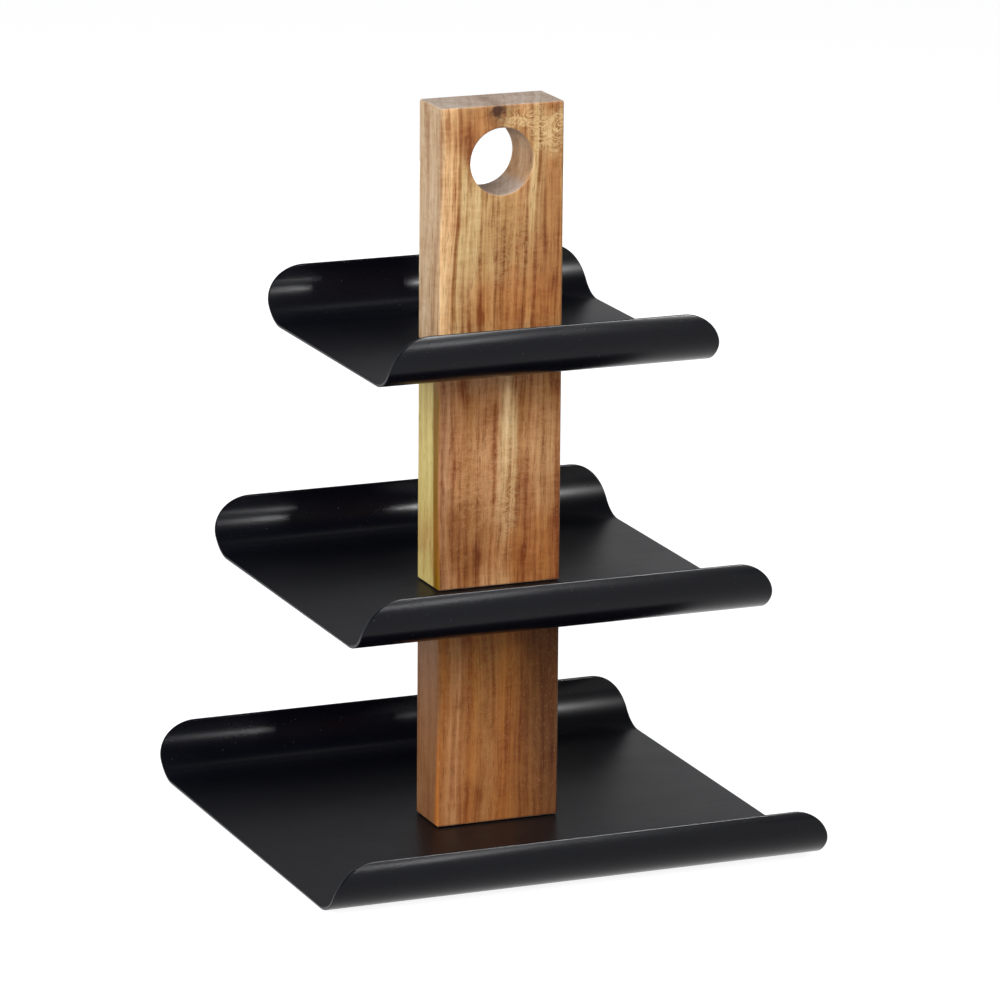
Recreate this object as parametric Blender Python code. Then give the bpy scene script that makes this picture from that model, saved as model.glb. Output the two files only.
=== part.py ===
"""Serving stand: trays of curled sheet steel clamped between the wooden blocks of a flat post.

Every tier is a tray with a block of the post standing on it. A bolt holds the bottom tray to its block
from below, and each tray above is clamped between two blocks by a stud on the post's axis. Lengths are
in metres. +X runs along the curled edges, +Y to the back and +Z up from the surface under the feet.
"""

import math

import bmesh
import bpy
from mathutils import Matrix

# Post: blocks of one section, the top one with a round grip hole.
BLOCK_WIDTH = 0.065
BLOCK_DEPTH = 0.0285
BLOCK_HEIGHT = 0.120
BLOCK_EDGE_RADIUS = 0.0012
GRIP_HOLE_DIAMETER = 0.0332
GRIP_HOLE_DROP = 0.0282  # from the top of the post down to the hole's centre
GRIP_RIM_RADIUS = 0.0007

# Trays: one sheet each, its front and back edges rolled up and over.
SHEET_THICKNESS = 0.0015
CURL_RADIUS = 0.0205  # to the middle of the sheet
CURL_ANGLE = math.radians(107.0)
CORNER_RADIUS = 0.020  # on the flat blank, before it is rolled
BOTTOM_TRAY_WIDTH = 0.260
BOTTOM_TRAY_DEPTH = 0.257
MIDDLE_TRAY_WIDTH = 0.215
MIDDLE_TRAY_DEPTH = 0.214
TOP_TRAY_WIDTH = 0.172
TOP_TRAY_DEPTH = 0.174

# Studs and bolt: one thread size for all of them.
THREAD_DIAMETER = 0.006
THREAD_CHAMFER = 0.0007
STUD_LENGTH = 0.040
STUD_SOCKET_FLATS = 0.003
STUD_SOCKET_DEPTH = 0.003
BOLT_SHANK_LENGTH = 0.018
BOLT_HEAD_DIAMETER = 0.017
BOLT_HEAD_HEIGHT = 0.0022
BOLT_HEAD_CHAMFER = 0.0006
BOLT_SOCKET_FLATS = 0.004
BOLT_SOCKET_DEPTH = 0.003

# Threaded inserts: one in each end of a block that a stud or the bolt goes into.
INSERT_DIAMETER = 0.010
INSERT_LENGTH = 0.015
INSERT_CHAMFER = 0.0008
INSERT_SLOT_WIDTH = 0.0013
INSERT_SLOT_DEPTH = 0.0016

# Feet: rubber pads under the corners of the bottom tray.
FOOT_DIAMETER = 0.0127
FOOT_TAPER = 0.0010  # how much smaller the radius is at the surface the pad stands on
FOOT_EDGE_RADIUS = 0.0006
FOOT_INSET = 0.020  # from the tray's cut edge, and from where its curl begins
BOLT_HEAD_ROOM = 0.0010  # between the bolt's head and the surface under the feet

# Clearances.
SEAT_GAP = 0.0003  # between faces that rest on each other
BORE_CLEARANCE = 0.0003  # round a stud, bolt or insert, on the radius
BORE_END_ROOM = 0.002  # left past the end of a stud, bolt or insert
CUT_OVERRUN = 0.002  # how far a cutter stands out of what it cuts

# Facets.
CURL_STEPS = 32
CORNER_STEPS = 14
HOLE_STEPS = 72
BORE_STEPS = 24  # a multiple of four
FOOT_STEPS = 28
EDGE_STEPS = 3
SMOOTH_ANGLE = math.radians(35.0)

# Sizes that follow from those above.
FOOT_HEIGHT = BOLT_HEAD_ROOM + BOLT_HEAD_HEIGHT
BOTTOM_TRAY_LEVEL = FOOT_HEIGHT + SEAT_GAP
BLOCK_LEVEL = SHEET_THICKNESS + SEAT_GAP  # of a block's foot, over its tray's underside
TIER_PITCH = BLOCK_LEVEL + BLOCK_HEIGHT + SEAT_GAP
STUD_REACH = (STUD_LENGTH - SHEET_THICKNESS) / 2 - SEAT_GAP  # into each of its two blocks
BOLT_REACH = BOLT_SHANK_LENGTH - SHEET_THICKNESS - 2 * SEAT_GAP  # into the lowest block
THREAD_BORE_RADIUS = THREAD_DIAMETER / 2 + BORE_CLEARANCE
INSERT_BORE_RADIUS = INSERT_DIAMETER / 2 + BORE_CLEARANCE
WELD_DISTANCE = SEAT_GAP / 100


def clear_scene():
    """Removes whatever the scene holds."""
    for found in list(bpy.data.objects):
        bpy.data.objects.remove(found, do_unlink=True)


def make_material(name, colour, roughness, metallic):
    """A Principled material of one colour."""
    made = bpy.data.materials.new(name)
    made.use_nodes = True
    shader = made.node_tree.nodes["Principled BSDF"]
    shader.inputs["Base Color"].default_value = (*colour, 1.0)
    shader.inputs["Roughness"].default_value = roughness
    shader.inputs["Metallic"].default_value = metallic
    return made


def oiled_acacia():
    """The wood of the post."""
    return make_material("oiled_acacia", (0.42, 0.21, 0.09), 0.5, 0.0)


def black_powder_coat():
    """The satin coating of the trays."""
    return make_material("black_powder_coat", (0.018, 0.019, 0.021), 0.36, 0.0)


def zinc_plated_steel():
    """The studs, the bolt and the inserts."""
    return make_material("zinc_plated_steel", (0.62, 0.63, 0.64), 0.32, 1.0)


def black_rubber():
    """The feet."""
    return make_material("black_rubber", (0.025, 0.025, 0.025), 0.8, 0.0)


def make_empty(name, level, parent=None):
    """An empty that carries pieces, this high on the post's axis."""
    empty = bpy.data.objects.new(name, None)
    empty.location = (0.0, 0.0, level)
    empty.parent = parent
    bpy.context.scene.collection.objects.link(empty)
    return empty


def make_object(name, mesh, parent, location=(0.0, 0.0, 0.0)):
    """An object of this mesh, carried by the parent."""
    made = bpy.data.objects.new(name, mesh)
    made.parent = parent
    made.location = location
    bpy.context.scene.collection.objects.link(made)
    return made


def mesh_from(shape, name, surface=None):
    """The bmesh as a mesh with its faces pointing out, shaded smooth but for its corners."""
    bmesh.ops.recalc_face_normals(shape, faces=shape.faces)
    mesh = bpy.data.meshes.new(name)
    shape.to_mesh(mesh)
    shape.free()
    mesh.shade_smooth()
    mesh.set_sharp_from_angle(angle=SMOOTH_ANGLE)
    if surface is not None:
        mesh.materials.append(surface)
    return mesh


def cut(target, mesh, level=0.0):
    """Cuts the mesh's shape out of the target, this high above the target's own origin."""
    cutter = make_object(f"{target.name}_{mesh.name}", mesh, target, (0.0, 0.0, level))
    cutter.hide_render = True
    cutter.display_type = "WIRE"
    modifier = target.modifiers.new(mesh.name, "BOOLEAN")
    modifier.operation = "DIFFERENCE"
    modifier.object = cutter


def turned(name, profile, steps, surface=None):
    """A solid of revolution about Z. The profile is (radius, height) points.

    A profile that starts off the axis is closed into a ring.
    """
    shape = bmesh.new()
    points = [shape.verts.new((radius, 0.0, height)) for radius, height in profile]
    edges = [shape.edges.new(pair) for pair in zip(points, points[1:])]
    if profile[0][0] > 0:
        edges.append(shape.edges.new((points[-1], points[0])))
    bmesh.ops.spin(
        shape,
        geom=points + edges,
        cent=(0.0, 0.0, 0.0),
        axis=(0.0, 0.0, 1.0),
        angle=math.tau,
        steps=steps,
    )
    bmesh.ops.remove_doubles(shape, verts=shape.verts, dist=WELD_DISTANCE)
    return mesh_from(shape, name, surface)


def arc(centre, radius, start, end):
    """Points along an arc about a centre, its angles running from the first axis to the second."""
    angles = [start + (end - start) * step / EDGE_STEPS for step in range(EDGE_STEPS + 1)]
    return [
        (centre[0] + radius * math.cos(angle), centre[1] + radius * math.sin(angle))
        for angle in angles
    ]


def box(name, size, surface=None, edge_radius=0.0):
    """A box about the origin, its edges rounded if a radius is given."""
    shape = bmesh.new()
    bmesh.ops.create_cube(shape, size=1.0)
    bmesh.ops.scale(shape, verts=shape.verts, vec=size)
    if edge_radius > 0:
        bmesh.ops.bevel(
            shape, geom=shape.edges, offset=edge_radius, segments=EDGE_STEPS, profile=0.5, affect="EDGES"
        )
    return mesh_from(shape, name, surface)


def hexagon_socket(flats, low, high):
    """The cutter of a hexagon socket, this wide across its flats."""
    shape = bmesh.new()
    corner = flats / math.sqrt(3)
    made = bmesh.ops.create_cone(
        shape, cap_ends=True, segments=6, radius1=corner, radius2=corner, depth=high - low
    )
    bmesh.ops.translate(shape, verts=made["verts"], vec=(0.0, 0.0, (low + high) / 2))
    return mesh_from(shape, "socket")


def turned_over(mesh):
    """The same mesh upside down."""
    mesh.transform(Matrix.Rotation(math.pi, 4, "X"))
    return mesh


def blank_stations(flat_half, blank_half):
    """Distances from the blank's middle at which the sheet is divided, out to its end."""
    curl_length = blank_half - flat_half
    curl = [flat_half + curl_length * step / CURL_STEPS for step in range(CURL_STEPS + 1)]
    corner = [
        blank_half - CORNER_RADIUS * (1 - math.sin(math.pi / 2 * step / CORNER_STEPS))
        for step in range(CORNER_STEPS + 1)
    ]
    least = curl_length / CURL_STEPS / 8
    stations = []
    for station in sorted(curl + corner):
        if not stations or station - stations[-1] > least:
            stations.append(station)
    stations[-1] = blank_half
    return stations


def corner_inset(from_end):
    """How far the blank's rounded corner stands back from its side, this far from the blank's end."""
    into_corner = max(0.0, CORNER_RADIUS - from_end)
    return CORNER_RADIUS - math.sqrt(CORNER_RADIUS**2 - into_corner**2)


def rolled(station, flat_half):
    """Where the middle of the sheet lies once it is rolled: (distance from the post's axis, height)."""
    angle = max(0.0, station - flat_half) / CURL_RADIUS
    out = min(station, flat_half) + CURL_RADIUS * math.sin(angle)
    up = SHEET_THICKNESS / 2 + CURL_RADIUS * (1 - math.cos(angle))
    return out, up


def floor_round_hole(shape, corners):
    """Fills the floor between its four corners but for a round hole in the middle, for the stud or the bolt.

    The corners run anticlockwise from the left front one.
    """
    ring = []
    for step in range(BORE_STEPS):
        angle = math.pi + math.tau * step / BORE_STEPS
        across, along = THREAD_BORE_RADIUS * math.cos(angle), THREAD_BORE_RADIUS * math.sin(angle)
        ring.append(shape.verts.new((across, along, SHEET_THICKNESS / 2)))
    for step, point in enumerate(ring):
        following = ring[(step + 1) % BORE_STEPS]
        shape.faces.new((corners[4 * step // BORE_STEPS], following, point))
    for side in range(4):
        shape.faces.new((corners[side - 1], corners[side], ring[side * BORE_STEPS // 4]))


def curled_sheet(name, width, depth, surface):
    """The middle surface of a tray: a blank with a hole and rounded corners, its front and back rolled up."""
    flat_half = depth / 2 - CURL_RADIUS - SHEET_THICKNESS / 2
    blank_half = flat_half + CURL_RADIUS * CURL_ANGLE
    shape = bmesh.new()
    rows = []
    for station in blank_stations(flat_half, blank_half):
        half_width = width / 2 - corner_inset(blank_half - station)
        out, up = rolled(station, flat_half)
        rows.insert(0, [shape.verts.new((x, -out, up)) for x in (-half_width, half_width)])
        rows.append([shape.verts.new((x, out, up)) for x in (-half_width, half_width)])
    for count, ((left, right), (next_left, next_right)) in enumerate(zip(rows, rows[1:]), start=1):
        corners = (left, right, next_right, next_left)
        if count == len(rows) // 2:
            floor_round_hole(shape, corners)
        else:
            shape.faces.new(corners)
    return mesh_from(shape, name, surface)


def make_tray(name, width, depth, surface, tier):
    """One tray, its underside on the tier's level."""
    tray = make_object(name, curled_sheet(name, width, depth, surface), tier)
    sheet = tray.modifiers.new("sheet", "SOLIDIFY")
    sheet.thickness = SHEET_THICKNESS
    sheet.offset = 0.0
    sheet.use_even_offset = True


def joint_bore(name, reach):
    """The cutter of a bore from height zero upwards: a seat for an insert, then room for a stud."""
    insert_depth = INSERT_LENGTH + SEAT_GAP
    thread_depth = max(reach, insert_depth) + BORE_END_ROOM
    profile = [
        (0.0, -CUT_OVERRUN),
        (INSERT_BORE_RADIUS, -CUT_OVERRUN),
        (INSERT_BORE_RADIUS, insert_depth),
        (THREAD_BORE_RADIUS, insert_depth),
        (THREAD_BORE_RADIUS, thread_depth),
        (0.0, thread_depth),
    ]
    return turned(name, profile, BORE_STEPS)


def make_block(name, surface, tier, foot_reach, top_reach=None):
    """A block of the post with a bore in its foot and, if another block follows, one in its top."""
    size = (BLOCK_WIDTH, BLOCK_DEPTH, BLOCK_HEIGHT)
    middle = (0.0, 0.0, BLOCK_LEVEL + BLOCK_HEIGHT / 2)
    block = make_object(name, box(name, size, surface, BLOCK_EDGE_RADIUS), tier, middle)
    cut(block, joint_bore("foot_bore", foot_reach), -BLOCK_HEIGHT / 2)
    if top_reach is not None:
        cut(block, turned_over(joint_bore("top_bore", top_reach)), BLOCK_HEIGHT / 2)
    return block


def grip_hole():
    """The cutter of the grip hole: a spool along Y, flared by the rounding of the hole's two rims."""
    hole, face, rim = GRIP_HOLE_DIAMETER / 2, BLOCK_DEPTH / 2, GRIP_RIM_RADIUS
    back_rim = arc((hole + rim, face - rim), rim, math.pi / 2, math.pi)
    front_rim = [(radius, -height) for radius, height in reversed(back_rim)]
    outside = face + CUT_OVERRUN
    profile = [(0.0, outside), (hole + rim, outside), *back_rim]
    profile += [*front_rim, (hole + rim, -outside), (0.0, -outside)]
    spool = turned("grip_hole", profile, HOLE_STEPS)
    spool.transform(Matrix.Rotation(math.pi / 2, 4, "X"))
    return spool


def make_grip_block(name, surface, tier):
    """The top block, with the round hole that the stand is carried by."""
    block = make_block(name, surface, tier, STUD_REACH)
    cut(block, grip_hole(), BLOCK_HEIGHT / 2 - GRIP_HOLE_DROP)


def make_insert(name, surface, tier, level, upside_down=False):
    """A slotted, threaded insert flush with the end of a block, in its foot or, upside down, its top."""
    outer, chamfer = INSERT_DIAMETER / 2, INSERT_CHAMFER
    profile = [
        (THREAD_BORE_RADIUS, 0.0),
        (outer - chamfer, 0.0),
        (outer, chamfer),
        (outer, INSERT_LENGTH - chamfer),
        (outer - chamfer, INSERT_LENGTH),
        (THREAD_BORE_RADIUS, INSERT_LENGTH),
    ]
    mesh = turned(name, profile, BORE_STEPS, surface)
    if upside_down:
        turned_over(mesh)
    insert = make_object(name, mesh, tier, (0.0, 0.0, level))
    cut(insert, box("slot", (INSERT_DIAMETER + CUT_OVERRUN, INSERT_SLOT_WIDTH, 2 * INSERT_SLOT_DEPTH)))


def make_stud(name, surface, tier):
    """A headless stud through the tier's tray, as far into the block below as into the one above."""
    radius, half, chamfer = THREAD_DIAMETER / 2, STUD_LENGTH / 2, THREAD_CHAMFER
    profile = [
        (0.0, -half),
        (radius - chamfer, -half),
        (radius, chamfer - half),
        (radius, half - chamfer),
        (radius - chamfer, half),
        (0.0, half),
    ]
    mesh = turned(name, profile, BORE_STEPS, surface)
    stud = make_object(name, mesh, tier, (0.0, 0.0, SHEET_THICKNESS / 2))
    cut(stud, hexagon_socket(STUD_SOCKET_FLATS, half - STUD_SOCKET_DEPTH, half + CUT_OVERRUN))


def make_base_bolt(name, surface, tier):
    """The bolt under the bottom tray. Its origin is where its head meets the tray."""
    head, shank, bottom = BOLT_HEAD_DIAMETER / 2, THREAD_DIAMETER / 2, -BOLT_HEAD_HEIGHT
    profile = [
        (0.0, bottom),
        (head - BOLT_HEAD_CHAMFER, bottom),
        (head, bottom + BOLT_HEAD_CHAMFER),
        (head, 0.0),
        (shank, 0.0),
        (shank, BOLT_SHANK_LENGTH - THREAD_CHAMFER),
        (shank - THREAD_CHAMFER, BOLT_SHANK_LENGTH),
        (0.0, BOLT_SHANK_LENGTH),
    ]
    bolt = make_object(name, turned(name, profile, BORE_STEPS, surface), tier, (0.0, 0.0, -SEAT_GAP))
    cut(bolt, hexagon_socket(BOLT_SOCKET_FLATS, bottom - CUT_OVERRUN, bottom + BOLT_SOCKET_DEPTH))


def make_feet(surface, stand):
    """Four pads under the flat of the bottom tray, narrowing towards the surface they stand on."""
    top, low, edge = FOOT_DIAMETER / 2, FOOT_DIAMETER / 2 - FOOT_TAPER, FOOT_EDGE_RADIUS
    corner = arc((low - edge, edge), edge, -math.pi / 2, 0.0)
    profile = [(0.0, 0.0), *corner, (top, FOOT_HEIGHT), (0.0, FOOT_HEIGHT)]
    mesh = turned("foot", profile, FOOT_STEPS, surface)
    across = BOTTOM_TRAY_WIDTH / 2 - FOOT_INSET
    along = BOTTOM_TRAY_DEPTH / 2 - SHEET_THICKNESS / 2 - CURL_RADIUS - FOOT_INSET
    for end, y in (("front", -along), ("back", along)):
        for side, x in (("left", -across), ("right", across)):
            make_object(f"foot_{end}_{side}", mesh, stand, (x, y, 0.0))


def make_bottom_tier(wood, coat, steel, tier):
    """The widest tray, bolted from below to the lowest block."""
    make_tray("bottom_tray", BOTTOM_TRAY_WIDTH, BOTTOM_TRAY_DEPTH, coat, tier)
    make_block("lower_block", wood, tier, BOLT_REACH, STUD_REACH)
    make_base_bolt("base_bolt", steel, tier)
    make_insert("lower_block_foot_insert", steel, tier, BLOCK_LEVEL)
    make_insert("lower_block_top_insert", steel, tier, BLOCK_LEVEL + BLOCK_HEIGHT, upside_down=True)


def make_middle_tier(wood, coat, steel, tier):
    """The middle tray and block, and the stud that holds them to the block below."""
    make_tray("middle_tray", MIDDLE_TRAY_WIDTH, MIDDLE_TRAY_DEPTH, coat, tier)
    make_block("middle_block", wood, tier, STUD_REACH, STUD_REACH)
    make_stud("lower_stud", steel, tier)
    make_insert("middle_block_foot_insert", steel, tier, BLOCK_LEVEL)
    make_insert("middle_block_top_insert", steel, tier, BLOCK_LEVEL + BLOCK_HEIGHT, upside_down=True)


def make_top_tier(wood, coat, steel, tier):
    """The smallest tray and the grip block, and the stud that holds them to the block below."""
    make_tray("top_tray", TOP_TRAY_WIDTH, TOP_TRAY_DEPTH, coat, tier)
    make_grip_block("grip_block", wood, tier)
    make_stud("upper_stud", steel, tier)
    make_insert("grip_block_foot_insert", steel, tier, BLOCK_LEVEL)


def main():
    """Builds the stand from the feet up."""
    clear_scene()
    wood = oiled_acacia()
    coat = black_powder_coat()
    steel = zinc_plated_steel()
    stand = make_empty("serving_stand", 0.0)
    make_feet(black_rubber(), stand)
    for count, make_tier in enumerate((make_bottom_tier, make_middle_tier, make_top_tier)):
        tier = make_empty(f"tier_{count + 1}", BOTTOM_TRAY_LEVEL + count * TIER_PITCH, stand)
        make_tier(wood, coat, steel, tier)


main()
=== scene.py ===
"""Tiered serving stand: steel trays with rolled edges, clamped between the blocks of a wooden post.

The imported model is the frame. Trays, blocks, feet and bolt are built again here with finer edges. The
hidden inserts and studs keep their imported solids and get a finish. Lengths are in metres unless a name
or docstring says otherwise. +X runs along the rolled edges, +Y to the back, +Z up from the feet.
"""

import logging
import math
from collections.abc import Iterable, Mapping, Sequence
from dataclasses import dataclass, field
from enum import Enum

import bmesh
import bpy
from mathutils import Matrix, Vector


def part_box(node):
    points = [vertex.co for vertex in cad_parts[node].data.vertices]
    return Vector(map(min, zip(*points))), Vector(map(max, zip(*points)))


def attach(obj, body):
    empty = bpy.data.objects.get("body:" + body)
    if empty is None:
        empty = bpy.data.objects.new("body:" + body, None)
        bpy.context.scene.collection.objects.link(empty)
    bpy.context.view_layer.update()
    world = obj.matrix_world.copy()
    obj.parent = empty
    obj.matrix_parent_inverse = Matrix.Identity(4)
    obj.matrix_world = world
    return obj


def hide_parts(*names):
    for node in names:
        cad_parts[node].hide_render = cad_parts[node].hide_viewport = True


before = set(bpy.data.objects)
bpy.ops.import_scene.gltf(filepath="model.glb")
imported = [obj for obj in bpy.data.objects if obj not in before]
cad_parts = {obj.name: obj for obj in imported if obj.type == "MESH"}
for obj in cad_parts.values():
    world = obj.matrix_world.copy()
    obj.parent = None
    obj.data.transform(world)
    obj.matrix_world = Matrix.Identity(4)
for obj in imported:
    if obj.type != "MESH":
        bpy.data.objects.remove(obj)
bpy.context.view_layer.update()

LOG = logging.getLogger("serving_stand")
BODY = "root"
MILLIMETRES = 1000.0
SMOOTH_UP_TO = math.radians(40.0)
WELD_DISTANCE = 1e-7
FLAT_WEIGHT = 100
ROUNDING_STEPS = 6
ORIGIN = Vector((0.0, 0.0, 0.0))
FOOT_CORNERS = ("front_left", "front_right", "back_left", "back_right")

Colour = tuple[float, float, float]
Point = tuple[float, float]
Triple = Sequence[float]
Material = bpy.types.Material
Shape = bmesh.types.BMesh
Socket = bpy.types.NodeSocket
Vertex = bmesh.types.BMVert


class Slot(Enum):
    """The record's material slots."""

    TRAY_COAT = "tray_coat"
    POST_WOOD = "post_wood"
    HARDWARE = "hardware"
    FOOT_RUBBER = "foot_rubber"


class Tone(Enum):
    """The tones of acacia, as linear colours."""

    SAPWOOD = (0.60, 0.475, 0.170)
    ASH = (0.50, 0.335, 0.195)
    # SHEEN is the palest tone. In the curls it is partly painted sheen, the shimmer of the curly figure,
    # laid over the figure's own pale tone. In clouds it is a pale streak of the wood.
    SHEEN = (0.80, 0.560, 0.270)
    STRAW = (0.60, 0.365, 0.150)
    TAN = (0.72, 0.405, 0.176)
    HONEY = (0.46, 0.225, 0.070)
    CINNAMON = (0.54, 0.235, 0.086)
    ROSE = (0.42, 0.190, 0.086)
    RUSSET = (0.42, 0.165, 0.046)
    AMBER = (0.42, 0.134, 0.025)
    CHESTNUT = (0.31, 0.105, 0.023)
    WALNUT = (0.25, 0.110, 0.045)
    UMBER = (0.12, 0.038, 0.010)
    OLIVE = (0.210, 0.098, 0.004)
    END_GRAIN = (0.490, 0.395, 0.322)
    KNOT_HALO = (0.190, 0.072, 0.022)
    KNOT_CORE = (0.050, 0.011, 0.002)


class ShaderSheet:
    """Writes the node tree of a material or of the world."""

    def __init__(self, owner: Material | bpy.types.World) -> None:
        """Starts with an empty node tree.

        Args:
            owner: the material or world that the tree belongs to.
        """
        owner.use_nodes = True
        self.owner = owner
        self.tree = owner.node_tree
        self.tree.nodes.clear()

    def node(
        self, kind: str, inputs: Mapping[str | int, object] | None = None, **settings: object
    ) -> bpy.types.Node:
        """Adds a node.

        Args:
            kind: the node's type without its "ShaderNode" prefix.
            inputs: values for its inputs, by name or place. A socket is linked, anything else is set.
            **settings: its other properties.

        Returns:
            The node.
        """
        made = self.tree.nodes.new(f"ShaderNode{kind}")
        for name, value in settings.items():
            setattr(made, name, value)
        for name, value in (inputs or {}).items():
            if isinstance(value, Socket):
                self.tree.links.new(value, made.inputs[name])
            else:
                made.inputs[name].default_value = value
        return made

    def calc(self, operation: str, *values: Socket | float) -> Socket:
        """The result of a Math node."""
        return self.node("Math", dict(enumerate(values)), operation=operation).outputs["Value"]

    def vector_calc(self, operation: str, *values: Socket | Triple) -> Socket:
        """The vector that a Vector Math node gives."""
        return self.node("VectorMath", dict(enumerate(values)), operation=operation).outputs["Vector"]

    def length(self, vector: Socket) -> Socket:
        """How long a vector is."""
        return self.node("VectorMath", {0: vector}, operation="LENGTH").outputs["Value"]

    def stretched(self, vector: Socket, scale: Triple, shift: Triple = ORIGIN) -> Socket:
        """A vector scaled along each axis and then shifted."""
        inputs = {"Vector": vector, "Location": shift, "Scale": scale}
        return self.node("Mapping", inputs).outputs["Vector"]

    def millimetres(self, middle: Vector = ORIGIN) -> Socket:
        """Where the surface point is, in millimetres from a middle that is given in metres."""
        place = self.node("TexCoord").outputs["Object"]
        return self.stretched(place, (MILLIMETRES,) * 3, middle * -MILLIMETRES)

    def facing(self, axis: str) -> Socket:
        """How squarely the surface faces along X, Y or Z: 1 along it, 0 across it and -1 against it."""
        normal = self.node("NewGeometry").outputs["Normal"]
        return self.node("SeparateXYZ", {"Vector": normal}).outputs[axis]

    def noise(
        self,
        place: Socket,
        scale: Triple,
        detail: float = 2.0,
        roughness: float = 0.5,
        distortion: float = 0.0,
        shift: Triple = ORIGIN,
        output: str = "Fac",
    ) -> Socket:
        """Fractal noise.

        Args:
            place: the place, in millimetres.
            scale: how many features it has for each millimetre along each axis.
            detail: how many finer layers it has.
            roughness: how strong the finer layers are.
            distortion: how far it is stirred.
            shift: what is added to the scaled place.
            output: Fac for a number round a half, Color for three of them.

        Returns:
            The noise.
        """
        inputs = {
            "Vector": self.stretched(place, scale, shift),
            "Scale": 1.0,
            "Detail": detail,
            "Roughness": roughness,
            "Distortion": distortion,
        }
        return self.node("TexNoise", inputs).outputs[output]

    def remap(
        self, value: Socket, source: Point, result: Point = (0.0, 1.0), soft: bool = False
    ) -> Socket:
        """Stretches one range of numbers onto another and clamps what lies outside.

        Args:
            value: the number.
            source: the range that it comes in.
            result: the range that it goes to.
            soft: whether both ends are eased.

        Returns:
            The new number.
        """
        names = ("Value", "From Min", "From Max", "To Min", "To Max")
        inputs = dict(zip(names, (value, *source, *result)))
        made = self.node("MapRange", inputs, interpolation_type="SMOOTHSTEP" if soft else "LINEAR")
        return made.outputs["Result"]

    def blend(self, amount: Socket | float, below: Socket | Colour, top: Colour) -> Socket:
        """Lays one colour over another.

        Args:
            amount: how much of the top one shows, from 0 to 1.
            below: the colour below.
            top: the colour on top.

        Returns:
            The mixed colour.
        """
        base = below if isinstance(below, Socket) else (*below, 1.0)
        made = self.node("Mix", {0: amount, 6: base, 7: (*top, 1.0)}, data_type="RGBA")
        return made.outputs[2]

    def ramp(self, value: Socket, stops: Iterable[tuple[float, Colour]]) -> Socket:
        """A colour ramp.

        Args:
            value: where to read it, from 0 to 1.
            stops: places from 0 to 1, with their colours.

        Returns:
            The colour.
        """
        made = self.node("ValToRGB", {"Fac": value})
        elements = made.color_ramp.elements
        for count, (place, colour) in enumerate(stops):
            element = elements[count] if count < len(elements) else elements.new(place)
            element.position = place
            element.color = (*colour, 1.0)
        return made.outputs["Color"]

    def bump(self, height: Socket, depth: float, strength: float) -> Socket:
        """The normal, bent by relief from 0 to 1 that is a depth in metres deep."""
        inputs = {"Height": height, "Distance": depth, "Strength": strength}
        return self.node("Bump", inputs).outputs["Normal"]

    def finish(self, shader: Mapping[str, object]) -> Material:
        """Ends the tree in a Principled shader with the given inputs, and returns the material."""
        self.node("OutputMaterial", {"Surface": self.node("BsdfPrincipled", shader).outputs["BSDF"]})
        return self.owner


@dataclass(frozen=True)
class PowderCoat:
    """Satin black powder coat: orange peel, dust specks, and floors whose gloss use has dulled."""

    name: str = "satin_black_powder_coat"
    colour: Colour = (0.0026, 0.0029, 0.0054)
    worn: Colour = (0.0046, 0.0049, 0.0074)
    dust: Colour = (0.030, 0.030, 0.031)
    gloss_range: Point = (0.235, 0.265)
    streak_share: float = 0.35
    floor_wear: float = 0.12
    specular: float = 0.15
    peel_depth: float = 0.000003

    def material(self) -> Material:
        """Writes the finish.

        Returns:
            The material.
        """
        sheet = ShaderSheet(bpy.data.materials.new(self.name))
        place = sheet.millimetres()
        cloudy = sheet.noise(place, (0.035, 0.035, 0.035), 3.0, 0.55)
        streaky = sheet.noise(place, (0.012, 0.25, 0.25), 2.0, 0.6)
        peel = sheet.noise(place, (1.1, 1.1, 1.1), 2.0, 0.5)
        speck = sheet.noise(place, (0.95, 0.95, 0.95), 0.0, shift=(31.0, 7.0, 0.0))
        colour = sheet.blend(sheet.remap(cloudy, (0.35, 0.7), (0.0, 0.35)), self.colour, self.worn)
        colour = sheet.blend(sheet.remap(speck, (0.83, 0.85)), colour, self.dust)
        clouds = sheet.calc("MULTIPLY", cloudy, 1.0 - self.streak_share)
        mixed = sheet.calc("MULTIPLY_ADD", streaky, self.streak_share, clouds)
        gloss = sheet.remap(mixed, (0.38, 0.62), self.gloss_range)
        level = sheet.remap(sheet.facing("Z"), (0.90, 0.995), soft=True)
        return sheet.finish(
            {
                "Base Color": colour,
                "Roughness": sheet.calc("MULTIPLY_ADD", level, self.floor_wear, gloss),
                "Specular IOR Level": self.specular,
                "Normal": sheet.bump(peel, self.peel_depth, 0.6),
            }
        )


@dataclass(frozen=True)
class ZincPlate:
    """Bright zinc on steel: metal with turning marks and a faint cloudiness."""

    name: str = "zinc_plate"
    colour: Colour = (0.60, 0.61, 0.63)
    dull: Colour = (0.42, 0.43, 0.44)
    gloss_range: Point = (0.24, 0.42)
    mark_depth: float = 0.00002

    def material(self) -> Material:
        """Writes the finish.

        Returns:
            The material.
        """
        sheet = ShaderSheet(bpy.data.materials.new(self.name))
        place = sheet.millimetres()
        cloudy = sheet.noise(place, (0.35, 0.35, 0.35), 3.0, 0.6)
        turning = sheet.noise(place, (0.25, 0.25, 5.0), 2.0, 0.5)
        return sheet.finish(
            {
                "Base Color": sheet.blend(sheet.remap(cloudy, (0.4, 0.65)), self.colour, self.dull),
                "Metallic": 1.0,
                "Roughness": sheet.remap(cloudy, (0.3, 0.7), self.gloss_range),
                "Normal": sheet.bump(turning, self.mark_depth, 0.4),
            }
        )


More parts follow.
